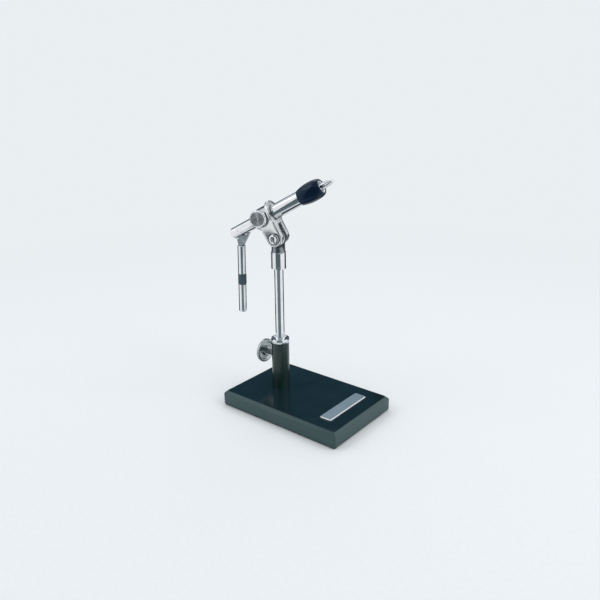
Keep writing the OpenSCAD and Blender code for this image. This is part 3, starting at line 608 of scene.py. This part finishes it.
bpy.ops.mesh.extrude_region_shrink_fatten(TRANSFORM_OT_shrink_fatten={"value": -GROOVE_DEPTH * MM})
bpy.ops.object.mode_set(mode="OBJECT")
soften(knob, KNURL_EDGE_R, segments=1)
settle(knob, on_thumb, "thumb_screw", knob_steel, "dark_steel", "thumb_knob")

# %% [markdown]
# ## Threads
# A thread is a helix, not a stack of rings. One pitch of the tooth is drawn as an outline, and the Screw
# modifier carries it round and up at the same time. The core inside closes the rod.

# %% Threaded rod
THREAD_R, PITCH = 3.0, 1.0
NOSE_REACH = 6.7
THREAD_FROM, THREAD_TO = NOSE_REACH - THUMB_REACH, 3.0
TOOTH_DEPTH, CREST_FROM, CREST_TO = 0.55, 0.44, 0.56
THREAD_STEPS, THREAD_SMOOTH_ANGLE = 40, 40
CORE_OVERLAP, CORE_CUT, CORE_CUT_L = 0.02, 0.1, 0.2


def threaded(name, outer, pitch, low, high):
    """A threaded rod from low to high along Z, in millimetres, with its ends closed by a core."""
    root = outer - pitch * TOOTH_DEPTH
    turns = int((high - low) / pitch)
    tooth = outline(name, [
        (root, 0), (outer, pitch * CREST_FROM), (outer, pitch * CREST_TO), (root, pitch)])
    only(tooth)
    helix = tooth.modifiers.new("helix", "SCREW")
    helix.axis = "Z"
    helix.screw_offset = pitch * MM
    helix.iterations = turns - 1
    helix.steps = THREAD_STEPS
    helix.render_steps = THREAD_STEPS
    helix.use_merge_vertices = True
    bpy.ops.object.modifier_apply(modifier=helix.name)
    bpy.ops.object.shade_smooth_by_angle(angle=math.radians(THREAD_SMOOTH_ANGLE))
    tooth.location = (0, 0, (low + (high - low - turns * pitch) / 2) * MM)
    bpy.ops.object.transform_apply(location=True)
    core_r, end_r = root + CORE_OVERLAP, root - CORE_CUT
    core = turned(name + "_core", [
        (0, low), (end_r, low), (core_r, low + CORE_CUT_L), (core_r, high - CORE_CUT_L), (end_r, high),
        (0, high)], soft_mm=0, steps=THREAD_STEPS)
    bpy.ops.object.select_all(action="DESELECT")
    core.select_set(True)
    tooth.select_set(True)
    bpy.context.view_layer.objects.active = tooth
    bpy.ops.object.join()
    return tooth


stud = threaded("thumb_stud_threaded", THREAD_R, PITCH, THREAD_FROM, THREAD_TO)
settle(stud, on_thumb, "thumb_screw", plain_steel, "steel", "thumb_stud")

# %% [markdown]
# ## Softened copies
# The clamp housing, the tongue, the lever's tang and the jaws have their true shape in the model already,
# but every edge is perfectly sharp. A copy of each is joined into whole faces and its edges get a small
# radius, wider on a filed part than on a ground one. That line of light along an edge is what makes metal
# look machined. The inner faces of the jaws' slit then get a dark material, a painted shade for the shadow
# inside the slit.

# %% Copies with soft edges
COPY_WELD_M = 2e-6
FLAT_WITHIN, COPY_ANGLE = 0.5, 28
SLIT_LOW, SLIT_HIGH = 0.98, 1.0


def softened(name, node, width_mm):
    """Copies a node's mesh, joins its loose triangles into faces and rounds its edges."""
    only(frame["nodes"][node])
    bpy.ops.object.duplicate()
    piece = bpy.context.object
    piece.name = name
    piece.parent = None
    del piece["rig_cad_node"]
    only(piece, "EDIT")
    bpy.ops.mesh.select_all(action="SELECT")
    bpy.ops.mesh.remove_doubles(threshold=COPY_WELD_M)
    bpy.ops.mesh.dissolve_limited(angle_limit=math.radians(FLAT_WITHIN))
    soften(piece, width_mm, COPY_ANGLE)
    return piece


copies = {}
for node, name, edge_mm, body, finish, slot in (
        ("clamp_housing", "clamp_housing_machined", 0.3, "head", satin_aluminium, "housing_metal"),
        ("socket_tongue", "tongue_machined", 0.2, "socket", dark_steel, "dark_steel"),
        ("lever_tang", "lever_tang_filed", 0.4, "lever", tang_steel, "dark_steel"),
        ("jaw_upper", "jaw_upper_ground", 0.08, "upper_jaw", jaw_steel, "steel"),
        ("jaw_lower", "jaw_lower_ground", 0.08, "lower_jaw", jaw_steel, "steel")):
    copies[node] = softened(name, node, edge_mm)
    settle(copies[node], as_drawn, body, finish, slot, node)
# The faces of the slit take the dark material, which is painted shade.
refinish(copies["jaw_upper"], slit_painted_shade, -barrel_up, SLIT_LOW, SLIT_HIGH)
refinish(copies["jaw_lower"], slit_painted_shade, barrel_up, SLIT_LOW, SLIT_HIGH)

# %% [markdown]
# ## Pivot bolt
# A round-headed bolt clamps the two ears on the tongue. Its head has a hexagon socket for a key. A
# cylinder with six sides, half of it outside the head, has just the socket's shape, and is cut away.

# %% Pivot bolt
HEAD_FACE, HEAD_SEAT, HEAD_R = 12.3, 7.9, 5.4
SHANK_R, SHANK_END = 2.99, -12.6
SHANK_TIP_R = 2.6
HEAD_CUT, HEAD_ROUND, ROUND_MIDDLE = 0.3, 1.0, 0.35
SOCKET_R, SOCKET_DEPTH, BOLT_EDGE_R = 2.9, 2.4, 0.12
head = [(0, HEAD_FACE), (HEAD_R - HEAD_ROUND, HEAD_FACE), (HEAD_R - HEAD_CUT, HEAD_FACE - ROUND_MIDDLE),
        (HEAD_R, HEAD_FACE - HEAD_ROUND), (HEAD_R, HEAD_SEAT + HEAD_CUT), (HEAD_R - HEAD_CUT, HEAD_SEAT)]
shank = [(SHANK_R, HEAD_SEAT), (SHANK_R, SHANK_END + HEAD_CUT), (SHANK_TIP_R, SHANK_END), (0, SHANK_END)]
bolt = turned("pivot_bolt_turned", head + shank, soft_mm=0)
only(bolt)
bpy.ops.mesh.primitive_cylinder_add(vertices=6, radius=SOCKET_R * MM, depth=2 * SOCKET_DEPTH * MM,
                                    location=(0, 0, HEAD_FACE * MM))
cut_away(bolt, bpy.context.object)
soften(bolt, BOLT_EDGE_R)
settle(bolt, on_pivot, "head", chrome, "steel", "pivot_bolt")

# %% [markdown]
# ## Faced steel
# The face of the side knob was turned flat, and the tool left fine rings on it, a tenth of a millimetre
# apart and far too fine to draw. Each throws the light sideways, so such a face shows two lighter wedges
# that meet at its middle and turn with the eye. Anisotropic gloss does the same: it spreads the light
# along one direction, which here points away from the knob's own axis. Vector Transform keeps that
# direction right when the knob is turned.

# %% Faced steel
KNOB_OUT = 13.8
CUT_SIZE = 3
face_steel, shader, where = new_finish("faced_steel_knob", "a6adb0", 1.0, 0.5, Anisotropic=1.0)
cuts = vary(face_steel, shader, where, "Roughness", 0.46, 0.54, CUT_SIZE)
tint(face_steel, shader, cuts, "a6adb0", "979ea1")
outwards = add_node(face_steel, "ShaderNodeVectorMath", {"operation": "SUBTRACT"}, {0: where})
outwards.inputs[1].default_value = on_side @ Vector((0, 0, KNOB_OUT * MM))
in_world = add_node(face_steel, "ShaderNodeVectorTransform",
                    {"vector_type": "VECTOR", "convert_from": "OBJECT", "convert_to": "WORLD"},
                    {"Vector": outwards.outputs["Vector"]})
link(face_steel, in_world.outputs["Vector"], shader.inputs["Tangent"])
print("faced steel ready")

# %% [markdown]
# ## Side knob
# The knob on the near side has a bright rim with a cut edge. The coarser rings of its face can be seen
# one by one, so they are real geometry: a zigzag of shallow ridges in the outline. Only the face takes
# the faced steel, and the rim stays plated.

# %% Side knob
KNOB_IN, KNOB_R = 10.4, 9.3
KNOB_CUT, FACE_EDGE = 0.8, 1.4
FACE_LOW, FACE_HIGH = 0.95, 1.0
RINGS, RINGS_FROM, RING_STEP = 9, 7.4, 0.8
RIDGE, FURROW = 0.18, 0.26
blank = [(0, KNOB_IN), (KNOB_R - KNOB_CUT, KNOB_IN), (KNOB_R, KNOB_IN + KNOB_CUT),
         (KNOB_R, KNOB_OUT - KNOB_CUT), (KNOB_R - KNOB_CUT, KNOB_OUT), (KNOB_R - FACE_EDGE, KNOB_OUT)]
rings = []
for i in range(RINGS):
    r = RINGS_FROM - i * RING_STEP
    rings += [(r, KNOB_OUT - RIDGE), (r - RING_STEP / 2, KNOB_OUT - FURROW)]
side = turned("side_knob_turned", [*blank, *rings, (0, KNOB_OUT - FURROW)], soft_mm=0.08)
settle(side, on_side, "brake_knob", chrome, "steel", "side_knob")
refinish(side, face_steel, -far_side, FACE_LOW, FACE_HIGH)

# %% [markdown]
# ## Collar and nose ring
# The collar is the black ogive that closes the jaws. Its outline is one long curve, so many short steps
# are needed for a clean highlight. It swells as a parabola from the rear and falls as a cubic to the
# front, which keeps the shoulder full and the nose short. After the curve a few points round the rim, and
# the outline goes back through the bore. The bright ring sits inside the front rim.

# %% Collar
COLLAR_X, COLLAR_L = 42.3, 26.6
REAR_R, MAX_R, FRONT_R, MAX_AT = 8.0, 10.2, 8.0, 14.0
CURVE_FROM, CURVE_L, CURVE_STEPS, COLLAR_STEPS = 0.3, 25.5, 36, 128
REAR_FACE_R, THREAD_BORE_R, THREAD_L, JAW_BORE_R = 7.7, 6.55, 7.7, 5.4
NOSE_R, NOSE_BORE_R, NOSE_GAP, NOSE_L = 6.6, 4.8, 0.01, 5.1
FRONT = COLLAR_X + COLLAR_L


def collar_radius(u):
    """The collar's radius at a distance from its rear edge, in millimetres."""
    if u < MAX_AT:
        return MAX_R - (MAX_R - REAR_R) * ((MAX_AT - u) / MAX_AT) ** 2
    return MAX_R - (MAX_R - FRONT_R) * ((u - MAX_AT) / (COLLAR_L - MAX_AT)) ** 3


stations = [CURVE_FROM + CURVE_L * i / CURVE_STEPS for i in range(CURVE_STEPS + 1)]
curve = [(collar_radius(u), COLLAR_X + u) for u in stations]
front_rim = [(7.95, FRONT - 0.45), (7.6, FRONT - 0.12), (7.15, FRONT), (6.9, FRONT - 0.1)]
bore = [(NOSE_R + NOSE_GAP, FRONT - 0.5), (NOSE_R + NOSE_GAP, FRONT - NOSE_L), (JAW_BORE_R, FRONT - NOSE_L),
        (JAW_BORE_R, COLLAR_X + THREAD_L), (THREAD_BORE_R, COLLAR_X + THREAD_L), (THREAD_BORE_R, COLLAR_X)]
rear = (REAR_FACE_R, COLLAR_X)
collar = turned("jaw_collar_lacquered", [rear, *curve, *front_rim, *bore, rear], soft_mm=0.1,
                steps=COLLAR_STEPS)
settle(collar, on_barrel, "collar", collar_black, "collar_black", "jaw_collar")
nose = turned("nose_ring_polished", [
    (NOSE_BORE_R, FRONT - NOSE_L), (NOSE_R, FRONT - NOSE_L), (NOSE_R, FRONT - 0.8), (6.3, FRONT - 0.5),
    (5.4, FRONT - 0.5), (NOSE_BORE_R, FRONT - 1.3), (NOSE_BORE_R, FRONT - NOSE_L)], soft_mm=0.1)
settle(nose, on_barrel, "collar_nose", chrome, "chrome", "nose_ring")

# %% [markdown]
# ## Lever band and tip
# The rubber band on the lever has shallow ribs to hold. Below it the rod ends in a well rounded tip, so
# that it doesn't catch the thread.

# %% Lever band and tip
ROD_R, STUD_R, LEVER_L = 4.4, 3.3, 91.4
BAND_AT, BAND_L, BAND_EDGE = 48.2, 11.6, 0.05
RIBS, RIB_PITCH, RIBS_FROM, RIB_H = 8, 1.35, 0.5, 0.2
RIB_RISE, RIB_FALL, RIB_END = 0.3, 0.85, 1.15
TIP_R, TIP_STEPS, TIP_CUT = 1.6, 8, 0.3
BAND_END = BAND_AT + BAND_L
groove_r, rib_r = ROD_R - BAND_EDGE, ROD_R + RIB_H
ribs = []
for i in range(RIBS):
    z = BAND_AT + RIBS_FROM + i * RIB_PITCH
    ribs += [(groove_r, z), (rib_r, z + RIB_RISE), (rib_r, z + RIB_FALL), (groove_r, z + RIB_END)]
band = turned("lever_band_ribbed", [
    (STUD_R, BAND_AT), (groove_r, BAND_AT), *ribs, (groove_r, BAND_END), (STUD_R, BAND_END),
    (STUD_R, BAND_AT)], soft_mm=0.08)
settle(band, on_lever, "lever", band_rubber, "band_black", "lever_band")
angles = [math.pi / 2 * i / TIP_STEPS for i in range(TIP_STEPS + 1)]
tip_round = [(ROD_R - TIP_R + TIP_R * math.cos(a), LEVER_L - TIP_R + TIP_R * math.sin(a)) for a in angles]
tip = turned("lever_tip_rounded", [
    (0, BAND_END), (ROD_R - TIP_CUT, BAND_END), (ROD_R, BAND_END + TIP_CUT), *tip_round, (0, LEVER_L)],
    soft_mm=0)
settle(tip, on_lever, "lever", chrome, "steel", "lever_tip")

# %% [markdown]
# ## Finishes of the other parts
# The parts that keep their shape from the model get their finish by name.

# %% Finishes by part
finishes = {
    "base_pad": black_rubber, "post_tube": post_enamel, "post_bolt": plain_steel,
    "post_bolt_washer": plain_steel, "pressure_pad": bronze, "stem_rod": chrome, "socket_sleeve": chrome,
    "socket_screw": dark_steel, "bearing_rear": bronze, "bearing_front": bronze,
    "pivot_washers": plain_steel, "pivot_nut": plain_steel, "side_stud": plain_steel,
    "brake_pad": natural_nylon, "barrel_tube": barrel_chrome, "barrel_clip": dark_steel,
    "lever_pin": barrel_chrome, "lever_rod": chrome, "return_spring": plain_steel, "push_rod": plain_steel,
}
for node, finish in finishes.items():
    mesh = frame["nodes"][node].data
    mesh.materials.clear()
    mesh.materials.append(finish)
print("parts that new pieces stand for:", sorted(set(frame["nodes"]) - set(finishes)))

# %% [markdown]
# ## Floor
# The vise stands on a plain pale floor without any gloss, so that it keeps only a soft shadow. A floor
# that ended would draw a horizon behind the vise. This one fades into the colour of the air instead, as a
# studio's paper does where it curves up: from a certain distance on it gives that colour off by itself.

# %% Floor
AIR, PAPER, PAPER_SHADE = "eaeff2", "f3f5f6", "f1f3f4"
FLOOR_SIZE_M = 40
FADE_FROM_M, FADE_TO_M = 0.28, 1.0
FIBRE_SIZE = 4
bpy.ops.object.select_all(action="DESELECT")
bpy.ops.mesh.primitive_plane_add(size=FLOOR_SIZE_M)
floor = bpy.context.object
floor.name = "studio_floor"
floor_finish, shader, where = new_finish("pale_paper_floor", PAPER, 0.0, 0.9,
                                         **{"Specular IOR Level": 0.0})
floor_output = floor_finish.node_tree.nodes["Material Output"]
fibres = vary(floor_finish, shader, where, "Roughness", 0.85, 0.95, FIBRE_SIZE)
tint(floor_finish, shader, fibres, PAPER, PAPER_SHADE)
reach = add_node(floor_finish, "ShaderNodeVectorMath", {"operation": "LENGTH"}, {0: where})
fade = add_node(floor_finish, "ShaderNodeMapRange",
                {"interpolation_type": "SMOOTHSTEP", "From Min": FADE_FROM_M, "From Max": FADE_TO_M},
                {"Value": reach.outputs["Value"]})
air = add_node(floor_finish, "ShaderNodeEmission", {"Color": linear(AIR), "Strength": 1.0})
cove = add_node(floor_finish, "ShaderNodeMixShader", {},
                {0: fade.outputs["Result"], 1: shader.outputs["BSDF"], 2: air.outputs["Emission"]})
link(floor_finish, cove.outputs["Shader"], floor_output.inputs["Surface"])
floor.data.materials.append(floor_finish)
print("floor fades from", FADE_FROM_M, "to", FADE_TO_M, "m")

# %% [markdown]
# ## Cards round the metal
# Polished metal has no look of its own: it shows what stands round it. Over a plain floor it turns plain
# too, and its roundness is lost. A photographer therefore stands cards round the object, just outside the
# picture. The white ones on the left and on the right draw the bright bands. Two grey ones below the
# camera, a darker one above a lighter one, keep the middle of each rod darker. Black ones behind cut in
# the dark edges. The far blue one is what the glossy base mirrors, so that the post's image stands out
# against it, and the black ones beside it keep its blue out of the ring's mouth. The cards here can be
# seen in gloss only, so they cast no shadow and stay out of every picture. Each is a vertical edge at its
# last angle, which Spin carries clockwise to its first.

# %% Cards
NEAR_M, FRONT_M, FAR_M = 0.20, 0.165, 0.52
CARD_TOP_M, FRONT_SPLIT_M = 0.34, 0.11
RIGHT_TOP_M, LEFT_TOP_M = 0.19, 0.20
FAR_FROM_M, FAR_TO_M = 0.16, 0.48
CARD_STEPS = 24
WHITE, GREY, DARK_GREY, BLACK, BLUE = "ffffff", "748688", "606f74", "20282e", "375a6e"


def card(name, start_deg, end_deg, hex_code, strength=1.0, radius=NEAR_M, bottom=0.0, top=CARD_TOP_M):
    """A curved card, sizes in metres. Its angles count from below the camera, to the right as it sees."""
    piece = outline(name, [(radius / MM, bottom / MM), (radius / MM, top / MM)])
    piece.rotation_euler = (0, 0, CAMERA_AZIMUTH - math.pi / 2 + math.radians(end_deg))
    bpy.ops.object.transform_apply(rotation=True)
    only(piece, "EDIT")
    bpy.ops.mesh.select_all(action="SELECT")
    bpy.ops.mesh.spin(steps=CARD_STEPS, angle=math.radians(end_deg - start_deg), center=(0, 0, 0),
                      axis=(0, 0, 1))
    bpy.ops.object.mode_set(mode="OBJECT")
    paper = bpy.data.materials.new(name + "_paper")
    paper.use_nodes = True
    nodes = paper.node_tree.nodes
    nodes.remove(nodes["Principled BSDF"])
    glow = add_node(paper, "ShaderNodeEmission", {"Color": linear(hex_code), "Strength": strength})
    link(paper, glow.outputs["Emission"], nodes["Material Output"].inputs["Surface"])
    piece.data.materials.append(paper)
    for kind in ("camera", "diffuse", "shadow", "transmission", "volume_scatter"):
        setattr(piece, "visible_" + kind, False)
    print(name, "from", start_deg, "to", end_deg, "degrees")


card("white_card_left", -98, -47, WHITE, 1.1)
card("grey_card_front", -44, 28, GREY, radius=FRONT_M, top=FRONT_SPLIT_M)
card("dark_card_front", -44, 28, DARK_GREY, radius=FRONT_M, bottom=FRONT_SPLIT_M)
card("white_card_right", 32, 100, WHITE, 1.15)
card("black_card_right", 104, 142, BLACK, top=RIGHT_TOP_M)
card("black_card_left", 205, 258, BLACK, top=LEFT_TOP_M)
card("black_card_far_right", 140, 153, BLACK, radius=FAR_M, bottom=FAR_FROM_M, top=FAR_TO_M)
card("blue_card_far", 153, 204, BLUE, radius=FAR_M, bottom=FAR_FROM_M, top=FAR_TO_M)
card("black_card_far_left", 204, 226, BLACK, radius=FAR_M, bottom=FAR_FROM_M, top=FAR_TO_M)

# %% [markdown]
# ## Lamps
# Three lamps with wide, soft faces light the vise: the strongest on the right and a little in front, a
# weaker one on the left, and one behind that lights the upper edges. Each is aimed at the point that the
# camera looks at.

# %% Lamps
def softbox(name, place, size, power):
    """A rectangular lamp at a place, aimed at the middle of the picture."""
    bpy.ops.object.light_add(type="AREA", location=place)
    lamp = bpy.context.object
    lamp.name = name
    lamp.data.shape = "RECTANGLE"
    lamp.data.size, lamp.data.size_y = size
    lamp.data.energy = power
    facing = (LOOK_AT - Vector(place)).to_track_quat("-Z", "Y")
    lamp.matrix_world = Matrix.Translation(Vector(place)) @ facing.to_matrix().to_4x4()
    print(name, power, "W")


softbox("key_softbox", (1.2, 0.3, 1.3), (1.0, 1.0), 6.5)
softbox("left_softbox", (-0.9, -0.9, 1.1), (0.8, 0.8), 3.5)
softbox("rim_softbox", (-0.6, 0.75, 1.35), (0.9, 0.6), 2.5)

# %% [markdown]
# ## Air of the studio
# The world is one plain pale colour. Where it is seen, by the camera, in gloss or through glass, it has
# the full strength that meets the floor's fade without a seam. As a light on matt surfaces it is a little
# weaker, so that the paint stays dark and the shadow under the base keeps its depth. Light Path tells the
# two cases apart.

# %% World
AIR_LIGHT, AIR_SEEN = 0.81, 1.0
world = bpy.data.worlds.new("studio_air")
bpy.context.scene.world = world
world.use_nodes = True
background = world.node_tree.nodes["Background"]
background.inputs["Color"].default_value = linear(AIR)
ray = add_node(world, "ShaderNodeLightPath")
direct = add_node(world, "ShaderNodeMath", {"operation": "MAXIMUM"},
                  {0: ray.outputs["Is Camera Ray"], 1: ray.outputs["Is Glossy Ray"]})
seen = add_node(world, "ShaderNodeMath", {"operation": "MAXIMUM"},
                {0: direct.outputs["Value"], 1: ray.outputs["Is Transmission Ray"]})
level = add_node(world, "ShaderNodeMapRange", {"To Min": AIR_LIGHT, "To Max": AIR_SEEN},
                 {"Value": seen.outputs["Value"]})
link(world, level.outputs["Result"], background.inputs["Strength"])
bpy.context.scene.view_settings.view_transform = "Standard"
print("air lights at", AIR_LIGHT, "and shows at", AIR_SEEN)
